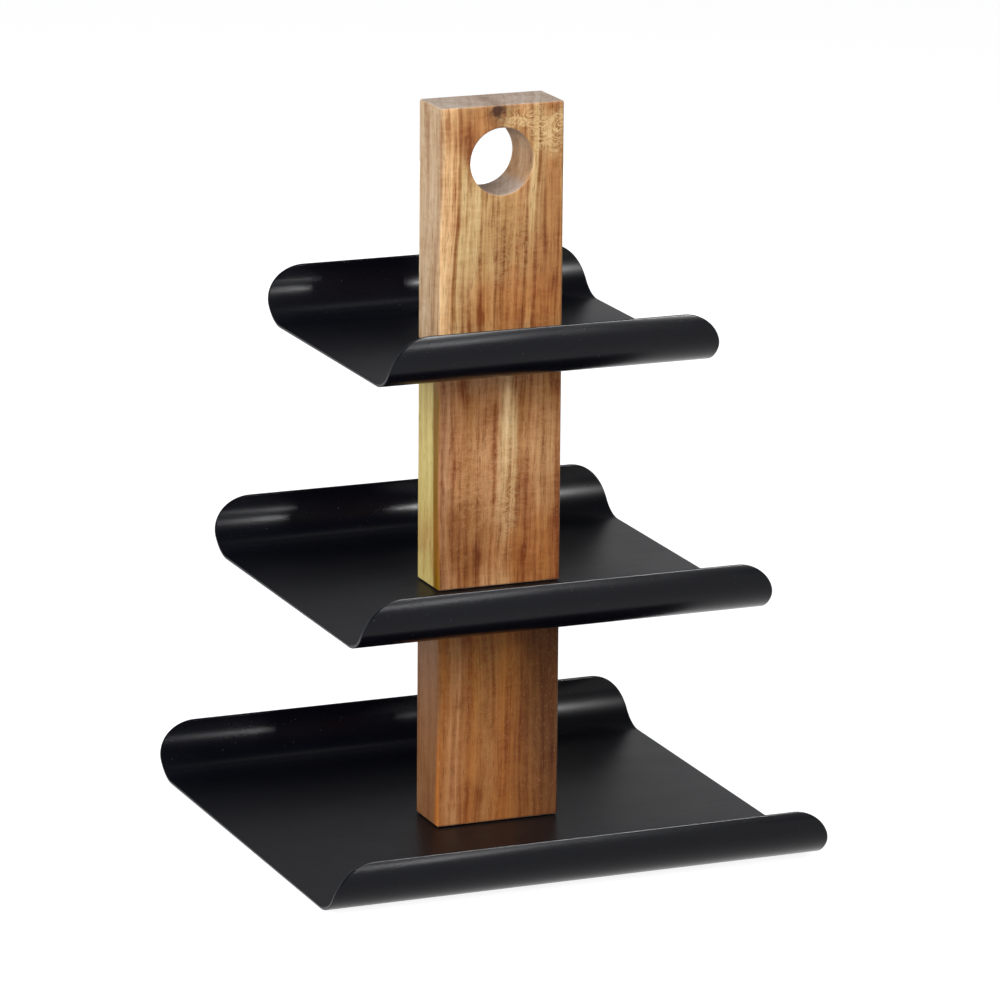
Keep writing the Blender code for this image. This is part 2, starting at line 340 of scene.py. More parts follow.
@dataclass(frozen=True)
class MattRubber:
    """Black rubber: matt, with moulding grain and pale scuffs."""

    name: str = "matt_black_rubber"
    colour: Colour = (0.020, 0.020, 0.020)
    scuffed: Colour = (0.055, 0.054, 0.052)
    gloss_range: Point = (0.70, 0.88)
    specular: float = 0.3
    grain_depth: float = 0.00004

    def material(self) -> Material:
        """Writes the finish.

        Returns:
            The material.
        """
        sheet = ShaderSheet(bpy.data.materials.new(self.name))
        place = sheet.millimetres()
        grain = sheet.noise(place, (3.0, 3.0, 3.0), 2.0, 0.6)
        scuff = sheet.noise(place, (0.5, 0.5, 0.5), 4.0, 0.65)
        return sheet.finish(
            {
                "Base Color": sheet.blend(sheet.remap(scuff, (0.52, 0.72)), self.colour, self.scuffed),
                "Roughness": sheet.remap(scuff, (0.3, 0.7), self.gloss_range),
                "Specular IOR Level": self.specular,
                "Normal": sheet.bump(grain, self.grain_depth, 0.5),
            }
        )


def placed(name: str, data: bpy.types.ID) -> bpy.types.Object:
    """Puts a mesh, a lamp or a camera into the scene.

    Args:
        name: the object's name.
        data: the mesh, lamp or camera.

    Returns:
        The object.
    """
    made = bpy.data.objects.new(name, data)
    bpy.context.scene.collection.objects.link(made)
    return made


def smooth(mesh: bpy.types.Mesh) -> None:
    """Shades a mesh smooth but for its corners."""
    mesh.shade_smooth()
    mesh.set_sharp_from_angle(angle=SMOOTH_UP_TO)


def mesh_object(name: str, shape: Shape, surface: Material) -> bpy.types.Object:
    """Turns a finished shape into an object of the scene, welded and with its faces outwards.

    Args:
        name: the object's name.
        shape: the shape, which is used up.
        surface: its material.

    Returns:
        The object.
    """
    bmesh.ops.remove_doubles(shape, verts=shape.verts, dist=WELD_DISTANCE)
    bmesh.ops.recalc_face_normals(shape, faces=shape.faces)
    mesh = bpy.data.meshes.new(name)
    shape.to_mesh(mesh)
    shape.free()
    mesh.materials.append(surface)
    smooth(mesh)
    return placed(name, mesh)


def turned(profile: Sequence[Point], steps: int) -> Shape:
    """A solid of revolution about Z.

    Args:
        profile: (radius, height) points from the axis back to the axis.
        steps: how many facets go round.

    Returns:
        The shape.
    """
    shape = bmesh.new()
    points = [shape.verts.new((radius, 0.0, height)) for radius, height in profile]
    edges = [shape.edges.new(pair) for pair in zip(points, points[1:])]
    bmesh.ops.spin(shape, geom=points + edges, cent=ORIGIN, axis=(0, 0, 1), angle=math.tau, steps=steps)
    return shape


def moved(shape: Shape, place: Vector) -> Shape:
    """A shape shifted to a place."""
    bmesh.ops.translate(shape, verts=shape.verts, vec=place)
    return shape


def rounding(
    centre: Point, radius: float, start: float, end: float, steps: int = ROUNDING_STEPS
) -> list[Point]:
    """Points along an arc, for a profile.

    Args:
        centre: the arc's centre.
        radius: its radius.
        start: the angle of its first point, in degrees.
        end: the angle of its last point.
        steps: how many facets it has.

    Returns:
        The points.
    """
    angles = [math.radians(start + (end - start) * step / steps) for step in range(steps + 1)]
    return [(centre[0] + radius * math.cos(a), centre[1] + radius * math.sin(a)) for a in angles]


def carved(name: str, shape: Shape, cutters: Iterable[Shape], surface: Material) -> bpy.types.Object:
    """A shape with others cut out of it.

    Args:
        name: the piece's name.
        shape: the shape, which is used up.
        cutters: what is cut out, used up too.
        surface: the material of the result.

    Returns:
        The object, with its cuts in its mesh and its flat faces shaded flat.
    """
    rough = mesh_object(f"{name}_uncut", shape, surface)
    knives = []
    for cutter in cutters:
        knife = mesh_object(f"{name}_knife", cutter, surface)
        cut = rough.modifiers.new("cut", "BOOLEAN")
        cut.operation = "DIFFERENCE"
        cut.solver = "EXACT"
        cut.object = knife
        knives.append(knife)
    bpy.context.view_layer.update()
    graph = bpy.context.evaluated_depsgraph_get()
    mesh = bpy.data.meshes.new_from_object(rough.evaluated_get(graph))
    mesh.name = name
    for spent in (rough, *knives):
        bpy.data.objects.remove(spent, do_unlink=True)
    smooth(mesh)
    made = placed(name, mesh)
    flat = made.modifiers.new("flat_faces", "WEIGHTED_NORMAL")
    flat.keep_sharp = True
    flat.weight = FLAT_WEIGHT
    return made


def dress(piece: bpy.types.Object, slot: Slot, *nodes: str) -> None:
    """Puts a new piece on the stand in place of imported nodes.

    Args:
        piece: the piece.
        slot: the record's slot that its finish belongs to.
        *nodes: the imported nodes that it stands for.
    """
    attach(piece, BODY)
    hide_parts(*nodes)
    LOG.info("%s: %d faces, in %s", piece.name, len(piece.data.polygons), slot.value)


@dataclass
class CurledTray:
    """A tray: one blank of sheet steel with rounded corners, its front and back rolled up and over."""

    node: str
    width: float
    depth: float
    thickness: float = 0.0015
    curl_radius: float = 0.0205
    curl_angle: float = math.radians(107.0)
    corner_radius: float = 0.020
    edge_radius: float = 0.0005
    hole_radius: float = 0.0033
    hole_cell: float = 0.008
    curl_steps: int = 32
    corner_steps: int = 36
    edge_steps: int = 4
    hole_steps: int = 48
    level: float = field(init=False)

    def __post_init__(self) -> None:
        """Takes the tray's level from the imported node."""
        self.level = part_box(self.node)[0].z

    @property
    def flat_half(self) -> float:
        """How far the flat floor reaches from the post's axis."""
        return self.depth / 2 - self.curl_radius - self.thickness / 2

    @property
    def blank_half(self) -> float:
        """Half the length of the blank before it is rolled."""
        return self.flat_half + self.curl_radius * self.curl_angle

    def rolled(self, across: float, along: float, lift: float) -> Vector:
        """Where a point of the blank comes to lie once the blank is rolled.

        Args:
            across: its place along X.
            along: its place along the blank, positive to the back.
            lift: its height over the middle of the sheet.

        Returns:
            The point.
        """
        angle = max(0.0, abs(along) - self.flat_half) / self.curl_radius
        arm = self.curl_radius - lift
        reach = min(abs(along), self.flat_half) + arm * math.sin(angle)
        rise = self.thickness / 2 + self.curl_radius - arm * math.cos(angle)
        return Vector((across, math.copysign(reach, along), self.level + rise))

    def rows(self) -> list[Point]:
        """The rows that divide the blank from front to back.

        Returns:
            For each row its place along the blank, not counting the rounded corner, and its angle round
            that corner.
        """
        straight_end = self.blank_half - self.corner_radius
        rolled_length = straight_end - self.flat_half
        half = [(self.hole_cell, 0.0)]
        for step in range(self.curl_steps + 1):
            half.append((self.flat_half + rolled_length * step / self.curl_steps, 0.0))
        for step in range(1, self.corner_steps + 1):
            half.append((straight_end, math.pi / 2 * step / self.corner_steps))
        return [(-along, angle) for along, angle in reversed(half)] + half

    def row_end(self, row: Point, side: int, inset: float) -> Point:
        """A row's end on the blank.

        Args:
            row: the row.
            side: -1 for its left end and 1 for its right end.
            inset: how far inside the cut edge the point lies.

        Returns:
            Its place across and along.
        """
        along, angle = row
        reach = self.corner_radius - inset
        across = self.width / 2 - self.corner_radius + reach * math.cos(angle)
        return side * across, along + math.copysign(reach * math.sin(angle), along)

    def rim_profile(self) -> list[Point]:
        """The rounded cut edge.

        Returns:
            Its points as inset and lift, from the upper face round to the lower one.
        """
        radius, half = self.edge_radius, self.thickness / 2
        upper = rounding((0.0, half - radius), radius, 90.0, 0.0, self.edge_steps)
        upper = [(radius - out, lift) for out, lift in upper]
        return upper + [(inset, -lift) for inset, lift in reversed(upper)]

    def rim_points(self, inset: float) -> list[Point]:
        """The outline of the blank, anticlockwise from its right front corner.

        Args:
            inset: how far inside the cut edge the outline lies.

        Returns:
            The points as places across and along.
        """
        rows, end = self.rows(), self.blank_half - inset
        right = [self.row_end(row, 1, inset) for row in rows]
        left = [self.row_end(row, -1, inset) for row in reversed(rows)]
        back = [(self.hole_cell, end), (-self.hole_cell, end)]
        front = [(-self.hole_cell, -end), (self.hole_cell, -end)]
        return right + back + left + front

    def vertices(self, shape: Shape, points: Iterable[Point], lift: float) -> list[Vertex]:
        """New vertices at points of the blank, at one height over the middle of the sheet."""
        return [shape.verts.new(self.rolled(*point, lift)) for point in points]

    def face(self, shape: Shape, lift: float) -> list[Vertex]:
        """The upper or lower face of the sheet, all but its rounded rim.

        Args:
            shape: where it is built.
            lift: its height over the middle of the sheet.

        Returns:
            The vertices round the hole in the floor.
        """
        grid = []
        for row in self.rows():
            left, right = (self.row_end(row, side, self.edge_radius) for side in (-1, 1))
            inner = [(across, right[1]) for across in (-self.hole_cell, self.hole_cell)]
            grid.append(self.vertices(shape, (left, *inner, right), lift))
        circle = rounding((0.0, 0.0), self.hole_radius, 180.0, 540.0, self.hole_steps)
        ring = self.vertices(shape, circle[:-1], lift)
        for count, (row, following) in enumerate(zip(grid, grid[1:]), start=1):
            for column in range(3):
                corners = (row[column], row[column + 1], following[column + 1], following[column])
                if column == 1 and count == len(grid) // 2:
                    self.floor_round_hole(shape, corners, ring)
                else:
                    shape.faces.new(corners)
        return ring

    def floor_round_hole(self, shape: Shape, corners: Sequence[Vertex], ring: Sequence[Vertex]) -> None:
        """Joins a square of the floor to the ring of its hole.

        Args:
            shape: where it is built.
            corners: the square's corners, anticlockwise from the left front one.
            ring: the hole's vertices, anticlockwise from its left.
        """
        for step, point in enumerate(ring):
            following = ring[(step + 1) % self.hole_steps]
            shape.faces.new((corners[4 * step // self.hole_steps], following, point))
        for side in range(4):
            shape.faces.new((corners[side - 1], corners[side], ring[side * self.hole_steps // 4]))

    def build(self, coat: Material) -> None:
        """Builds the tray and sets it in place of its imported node.

        Args:
            coat: the coating.
        """
        shape = bmesh.new()
        rings = [self.face(shape, side * self.thickness / 2) for side in (1, -1)]
        loops = [self.vertices(shape, self.rim_points(inset), lift) for inset, lift in self.rim_profile()]
        for loop, following in (*zip(loops, loops[1:]), rings):
            for turn in range(len(loop)):
                shape.faces.new((loop[turn - 1], loop[turn], following[turn], following[turn - 1]))
        dress(mesh_object(f"{self.node}_sheet", shape, coat), Slot.TRAY_COAT, self.node)


@dataclass
class PostBlock:
    """One block of the post, with bores for what joins it to its neighbours, and perhaps a grip hole."""

    node: str
    foot_stud: float
    top_stud: float | None = None
    grip_hole_drop: float | None = None
    width: float = 0.065
    depth: float = 0.0285
    height: float = 0.120
    edge_radius: float = 0.0012
    edge_steps: int = 5
    grip_hole_radius: float = 0.0166
    grip_hole_steps: int = 128
    grip_rim_radius: float = 0.0008
    insert_radius: float = 0.0053
    insert_depth: float = 0.0153
    stud_radius: float = 0.0033
    bore_steps: int = 40
    overrun: float = 0.002
    middle: Vector = field(init=False)

    def __post_init__(self) -> None:
        """Takes the block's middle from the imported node."""
        low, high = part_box(self.node)
        self.middle = (low + high) / 2

    def body(self) -> Shape:
        """The plain block with rounded edges.

        Returns:
            The shape.
        """
        shape = bmesh.new()
        bmesh.ops.create_cube(shape, size=1.0)
        bmesh.ops.scale(shape, verts=shape.verts, vec=(self.width, self.depth, self.height))
        ease = {"offset": self.edge_radius, "segments": self.edge_steps, "profile": 0.5}
        bmesh.ops.bevel(shape, geom=shape.edges, affect="EDGES", **ease)
        return moved(shape, self.middle)

    def bore(self, reach: float, upside_down: bool) -> Shape:
        """The bore in one end: a seat for an insert, then room for a stud.

        Args:
            reach: how deep it is.
            upside_down: whether it goes down from the top and not up from the foot.

        Returns:
            Its cutter.
        """
        profile = [
            (0.0, -self.overrun),
            (self.insert_radius, -self.overrun),
            (self.insert_radius, self.insert_depth),
            (self.stud_radius, self.insert_depth),
            (self.stud_radius, reach),
            (0.0, reach),
        ]
        shape = turned(profile, self.bore_steps)
        if upside_down:
            bmesh.ops.rotate(shape, verts=shape.verts, matrix=Matrix.Rotation(math.pi, 3, "X"))
        end = self.height / 2 if upside_down else -self.height / 2
        return moved(shape, self.middle + Vector((0.0, 0.0, end)))

    def grip_hole(self) -> Shape:
        """The round hole, its two rims eased.

        Returns:
            Its cutter.
        """
        hole, face, rim = self.grip_hole_radius, self.depth / 2, self.grip_rim_radius
        outside = face + self.overrun
        back = [(0.0, outside), (hole + rim, outside)]
        back += rounding((hole + rim, face - rim), rim, 90.0, 180.0)
        front = [(radius, -height) for radius, height in reversed(back)]
        shape = turned(back + front, self.grip_hole_steps)
        bmesh.ops.rotate(shape, verts=shape.verts, matrix=Matrix.Rotation(math.pi / 2, 3, "X"))
        return moved(shape, self.middle + Vector((0.0, 0.0, self.height / 2 - self.grip_hole_drop)))

    def build(self, wood: Material) -> None:
        """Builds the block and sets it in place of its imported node.

        Args:
            wood: its board's finish.
        """
        cutters = [self.bore(self.foot_stud, upside_down=False)]
        if self.top_stud is not None:
            cutters.append(self.bore(self.top_stud, upside_down=True))
        if self.grip_hole_drop is not None:
            cutters.append(self.grip_hole())
        block = carved(f"{self.node}_wood", self.body(), cutters, wood)
        dress(block, Slot.POST_WOOD, self.node)


@dataclass
class BaseBolt:
    """The bolt under the bottom tray: a low head with a hexagon socket, and its shank."""

    node: str = "base_bolt"
    head_radius: float = 0.0085
    head_height: float = 0.0022
    head_rounding: float = 0.0008
    shank_radius: float = 0.003
    socket_flats: float = 0.004
    socket_depth: float = 0.003
    steps: int = 72

    def build(self, zinc: Material) -> None:
        """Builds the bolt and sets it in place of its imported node.

        Args:
            zinc: its plating.
        """
        low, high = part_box(self.node)
        seat, bottom = low.z + self.head_height, low.z
        ease = self.head_rounding
        profile = [
            (0.0, bottom),
            *rounding((self.head_radius - ease, bottom + ease), ease, -90.0, 0.0),
            (self.head_radius, seat),
            (self.shank_radius, seat),
            (self.shank_radius, high.z - ease),
            (self.shank_radius - ease, high.z),
            (0.0, high.z),
        ]
        socket = bmesh.new()
        corner = self.socket_flats / math.sqrt(3)
        cone = {"radius1": corner, "radius2": corner, "depth": 2 * self.socket_depth}
        bmesh.ops.create_cone(socket, cap_ends=True, segments=6, **cone)
        moved(socket, Vector((0.0, 0.0, bottom)))
        bolt = carved(f"{self.node}_plated", turned(profile, self.steps), [socket], zinc)
        dress(bolt, Slot.HARDWARE, self.node)


@dataclass
class RubberFeet:
    """The four pads under the bottom tray, each with a shallow dimple where its moulding pin stood.

    The dimple's shape is its floor's radius, its wall's height and its rim's radius, as shares of its size.
    """

    nodes: tuple[str, ...] = tuple(f"foot_{end}" for end in FOOT_CORNERS)
    top_radius: float = 0.00635
    bottom_radius: float = 0.00535
    rounding_radius: float = 0.0009
    dimple_radius: float = 0.0016
    dimple_depth: float = 0.0006
    dimple_shape: Triple = (0.8, 0.7, 1.12)
    top_ease: float = 0.0002
    steps: int = 64

    def profile(self, height: float) -> list[Point]:
        """Half the pad's section.

        Args:
            height: how high the pad is.

        Returns:
            (radius, height) points.
        """
        ease = self.rounding_radius
        floor, wall, rim = self.dimple_shape
        return [
            (0.0, self.dimple_depth),
            (self.dimple_radius * floor, self.dimple_depth),
            (self.dimple_radius, self.dimple_depth * wall),
            (self.dimple_radius * rim, 0.0),
            *rounding((self.bottom_radius - ease, ease), ease, -90.0, 0.0),
            (self.top_radius, height - self.top_ease),
            (self.top_radius - self.top_ease, height),
            (0.0, height),
        ]

    def build(self, rubber: Material) -> None:
        """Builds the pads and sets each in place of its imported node.

        Args:
            rubber: what they are made of.
        """
        for node in self.nodes:
            low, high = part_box(node)
            centre = (low + high) / 2
            shape = moved(turned(self.profile(high.z - low.z), self.steps), Vector((*centre.xy, low.z)))
            dress(mesh_object(f"{node}_pad", shape, rubber), Slot.FOOT_RUBBER, node)


@dataclass
class HiddenHardware:
    """The studs and threaded inserts inside the post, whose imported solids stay."""

    nodes: tuple[str, ...] = (
        "lower_stud",
        "upper_stud",
        "lower_block_foot_insert",
        "lower_block_top_insert",
        "middle_block_foot_insert",
        "middle_block_top_insert",
        "grip_block_foot_insert",
    )

    def build(self, zinc: Material) -> None:
        """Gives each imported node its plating.

        Args:
            zinc: the plating.
        """
        for name in self.nodes:
            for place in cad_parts[name].material_slots:
                place.material = zinc
            LOG.info("%s: plated", name)


@dataclass(frozen=True)
class Cloud:
    """A soft-edged area of a block, in millimetres across and up from the block's middle: mostly a tone of
    the wood, on the lower block also painted shade.
    """

    across: float
    up: float
    wide: float
    tall: float
    tone: Tone
    strength: float


@dataclass(frozen=True)
class Knot:
    """A pin knot that runs through a block from front to back, in millimetres from the block's middle."""

    across: float
    up: float
    radius: float


@dataclass(frozen=True)
class AcaciaBoard:
    """Oiled acacia, cut from one place in one trunk.

    The wood is solid: rings about the tree's heart, fibres and pores along Z, so that the faces and the
    end grain agree. The heart's place is in millimetres from the block's middle, across and to the back,
    and it leans to the right by so much for each millimetre of height. A streak has a place, from 0 at
    the front's left edge to 1 at its right, and a tone.
    """

    heart: Point
    lean: float
    seed: float
    streaks: tuple[tuple[float, Tone], ...]
    clouds: tuple[Cloud, ...]
    # The curls are partly painted sheen, the shimmer of the figure, and partly the figure's own paler tone.
    curls: tuple[Cloud, ...]
    knot: Knot | None = None
    side: Tone | None = None
    contrast: float = 1.5
    side_contrast: float = 0.6
    end_contrast: float = 0.3
    specular: float = 0.14
    pore_depth: float = 0.00009

    def material(self, block: PostBlock) -> Material:
        """The finish of the block that is cut from the board."""
        return BoardSheet(self, block).written()


class BoardSheet(ShaderSheet):
    """Writes the wood of one block, in millimetres from the block's middle."""

    # Half of what the grain multiplies the wood's colour by, from its darkest to its palest.
    TINTS = ((0.0, (0.25, 0.145, 0.080)), (0.5, (0.50, 0.50, 0.50)), (1.0, (0.66, 0.78, 0.92)))

    def __init__(self, board: AcaciaBoard, block: PostBlock) -> None:
        """Finds the places and directions that the layers of the wood are drawn by.

        Args:
            board: the board.
            block: the block that is cut from it.
        """
        super().__init__(bpy.data.materials.new(f"acacia_{block.node}"))
        self.board = board
        self.block = block
        self.place = self.millimetres(block.middle)
        directions = (self.calc("ABSOLUTE", self.facing(axis)) for axis in "XYZ")
        self.sideways, self.frontal, self.upward = directions
        self.grain = self.grain_place()
        self.radius = self.ring_radius()
        rough = self.stray((0.20, 0.20, 0.07), (12.0, 0.0, 18.0), detail=2.0)
        self.uneven = self.vector_calc("ADD", self.place, rough)

    def stray(self, scale: Triple, reach: Triple, **layers: object) -> Socket:
        """A vector that wanders with the place, half its reach either way, in noise of these layers."""
        wander = self.noise(self.place, scale, output="Color", **layers)
        return self.vector_calc("MULTIPLY_ADD", wander, reach, [-part / 2 for part in reach])

    def nearness(self, apart: Socket, reach: float) -> Socket:
        """1 on a line along Y, and 0 beyond a reach from it, given the vector from the line."""
        flat = self.vector_calc("MULTIPLY", apart, (1.0, 0.0, 0.8))
        return self.remap(self.length(flat), (0.0, reach), (1.0, 0.0), soft=True)

    def grain_place(self) -> Socket:
        """The place, wandering as the fibres do, and bent round the knot.

        Returns:
            The place in the grain.
        """
        seed, knot = self.board.seed, self.board.knot
        shift = (seed, seed * 0.37, -seed * 0.61)
        slow = self.stray((0.030, 0.030, 0.011), (9.0, 9.0, 0.0), detail=1.0, shift=shift)
        quick = self.stray((0.16, 0.16, 0.035), (1.3, 1.3, 0.0), detail=1.0, shift=shift)
        bent = self.vector_calc("ADD", self.vector_calc("ADD", self.place, slow), quick)
        if knot is None:
            return bent
        apart = self.vector_calc("SUBTRACT", self.place, (knot.across, 0.0, knot.up))
        near = self.nearness(apart, knot.radius * 3.2)
        push = self.node("VectorMath", {0: apart, "Scale": near}, operation="SCALE").outputs["Vector"]
        return self.vector_calc("ADD", bent, self.vector_calc("MULTIPLY", push, (-0.75, 0.0, 0.0)))

    def ring_radius(self) -> Socket:
        """The distance from the tree's heart, which leans.

        Returns:
            The distance.
        """
        parts, heart = self.node("SeparateXYZ", {"Vector": self.grain}).outputs, self.board.heart
        across, back = (self.calc("SUBTRACT", parts[axis], at) for axis, at in zip("XY", heart))
        across = self.calc("SUBTRACT", across, self.calc("MULTIPLY", parts["Z"], self.board.lean))
        squares = (self.calc("MULTIPLY", gap, gap) for gap in (across, back))
        return self.calc("SQRT", self.calc("ADD", *squares))

    def streak_colour(self) -> Socket:
        """The board's broad streaks, which follow the rings.

        Returns:
            The colour.
        """
        streaks, heart = self.board.streaks, self.board.heart
        half_width, half_depth = (side / 2 * MILLIMETRES for side in (self.block.width, self.block.depth))
        left, right = (math.dist(heart, (edge, -half_depth)) for edge in (-half_width, half_width))
        first, last = streaks[0][0], streaks[-1][0]
        ends = (left + first * (right - left), left + last * (right - left))
        stops = [((place - first) / (last - first), tone.value) for place, tone in streaks]
        return self.ramp(self.remap(self.radius, ends), stops)

    def cloud_mask(self, cloud: Cloud) -> Socket:
        """Where a cloud shows, with an uneven rim.

        Args:
            cloud: the cloud.

        Returns:
            The mask, from 0 to the cloud's strength.
        """
        scale = (2.0 / cloud.wide, 0.0, 2.0 / cloud.tall)
        shift = (-cloud.across * scale[0], 0.0, -cloud.up * scale[2])
        distance = self.length(self.stretched(self.uneven, scale, shift))
        return self.remap(distance, (0.35, 1.15), (cloud.strength, 0.0), soft=True)

    def grain_shade(self) -> Socket:
        """How dark the grain is: its layers together, calmer on the sides and the ends.

        Returns:
            A number round a half, low where the grain is dark.
        """
        widths = {"W": self.radius, "Scale": 0.36, "Detail": 4.0, "Roughness": 0.60}
        rings = self.node("TexNoise", widths, noise_dimensions="1D").outputs["Fac"]
        fibres = self.noise(self.grain, (0.70, 0.70, 0.014), 4.0, 0.62)
        waves = self.noise(self.grain, (0.45, 0.45, 0.045), 3.0, 0.6, 0.8)
        bands = self.noise(self.grain, (0.20, 0.20, 0.013), 2.0, 0.6, 0.3)
        blotches = self.noise(self.place, (0.075, 0.075, 0.040), 2.0, 0.55, 0.6)
        ripple = self.noise(self.place, (0.13, 0.13, 0.42), 2.0, 0.5, 0.8)
        layers = [(rings, 1.1), (fibres, 0.65), (waves, 0.5)]
        layers += [(bands, 1.2), (blotches, 0.8), (ripple, 0.35)]
        total: Socket | float = 0.5 - 0.5 * sum(weight for _, weight in layers)
        for layer, weight in layers:
            total = self.calc("MULTIPLY_ADD", layer, weight, total)
        board = self.board
        calm: Socket | float = board.contrast
        for facing, kept in ((self.sideways, board.side_contrast), (self.upward, board.end_contrast)):
            calm = self.calc("MULTIPLY_ADD", facing, (kept - 1.0) * board.contrast, calm)
        return self.calc("MULTIPLY_ADD", self.calc("SUBTRACT", total, 0.5), calm, 0.5)

    def figured(self, colour: Socket) -> Socket:
        """Lays curls and pale flecks over the wide faces: partly the figure's own paler tone, partly
        painted sheen, the shimmer and glints that the figure gives under light.

        Args:
            colour: the colour of the wood below.

        Returns:
            The colour with its figure.
        """
        wide_face = self.remap(self.frontal, (0.6, 0.95))
        ripple = self.noise(self.place, (0.15, 0.15, 0.24), 1.0, 0.5, 1.6)
        crest = self.calc("ABSOLUTE", self.calc("SUBTRACT", ripple, 0.5))
        lines = self.calc("MULTIPLY", self.remap(crest, (0.0, 0.105), (1.0, 0.0), soft=True), wide_face)
        # Painted sheen: the curls lay the figure's shimmer over the wood as pale colour, on top of its own
        # paler tone.
        for curl in self.board.curls:
            amount = self.calc("MULTIPLY", lines, self.cloud_mask(curl))
            colour = self.blend(amount, colour, curl.tone.value)
        # The flecks are partly painted sheen too: small glints of the figure, laid on in straw.
        fleck = self.noise(self.place, (1.5, 1.5, 0.55), 2.0, 0.6, 0.5)
        flecks = self.calc("MULTIPLY", self.remap(fleck, (0.58, 0.72), (0.0, 0.26)), wide_face)
        return self.blend(flecks, colour, Tone.STRAW.value)

    def knotted(self, colour: Socket, knot: Knot) -> Socket:
        """Lays a knot over the grain, fainter on the ends of the block.

        Args:
            colour: the colour of the wood round it.
            knot: the knot.

        Returns:
            The colour with the knot.
        """
        strength = self.remap(self.upward, (0.3, 0.8), (1.0, 0.25))
        stir = self.stray((0.45, 0.45, 0.45), (9.0, 0.0, 9.0), detail=3.0, roughness=0.6)
        apart = self.vector_calc("SUBTRACT", self.place, (knot.across, 0.0, knot.up))
        apart = self.vector_calc("ADD", apart, stir)
        flame = self.vector_calc("MULTIPLY_ADD", apart, (0.8, 1.0, 0.6), (-0.6, 0.0, -1.2))
        halo = self.nearness(flame, knot.radius * 3.6)
        halo = self.calc("MULTIPLY", halo, self.calc("MULTIPLY", strength, 0.85))
        core = self.remap(self.nearness(apart, knot.radius * 1.8), (0.05, 0.60), (0.0, 0.92))
        colour = self.blend(halo, colour, Tone.KNOT_HALO.value)
        return self.blend(self.calc("MULTIPLY", core, strength), colour, Tone.KNOT_CORE.value)

    def written(self) -> Material:
        """Lays the layers of the wood over each other, from the broad streaks to the knot.

        Returns:
            The finished material.
        """
        board, colour = self.board, self.streak_colour()
        for cloud in board.clouds:
            colour = self.blend(self.cloud_mask(cloud), colour, cloud.tone.value)
        if board.side is not None:
            on_side = self.remap(self.sideways, (0.4, 0.9), (0.0, 0.75))
            colour = self.blend(on_side, colour, board.side.value)
        end_grain = self.remap(self.upward, (0.50, 0.85), (0.0, 0.94), soft=True)
        colour = self.blend(end_grain, colour, Tone.END_GRAIN.value)

        shade = self.grain_shade()
        colour = self.vector_calc("MULTIPLY", colour, self.ramp(shade, self.TINTS))
        colour = self.figured(self.vector_calc("MULTIPLY", colour, (2.0, 2.0, 2.0)))
        pores = self.remap(self.noise(self.grain, (2.2, 2.2, 0.15), 1.0, 0.4), (0.62, 0.69))
        colour = self.blend(self.calc("MULTIPLY", pores, 0.38), colour, Tone.UMBER.value)
        if board.knot is not None:
            colour = self.knotted(colour, board.knot)

        gloss = self.calc("MULTIPLY_ADD", pores, 0.2, self.remap(shade, (0.2, 0.8), (0.50, 0.58)))
        height = self.calc("SUBTRACT", self.calc("MULTIPLY", shade, 0.45), pores)
        return self.finish(
            {
                "Base Color": colour,
                "Roughness": self.calc("MULTIPLY_ADD", end_grain, 0.38, gloss),
                "Specular IOR Level": board.specular,
                "Normal": self.bump(height, board.pore_depth, 0.55),
            }
        )


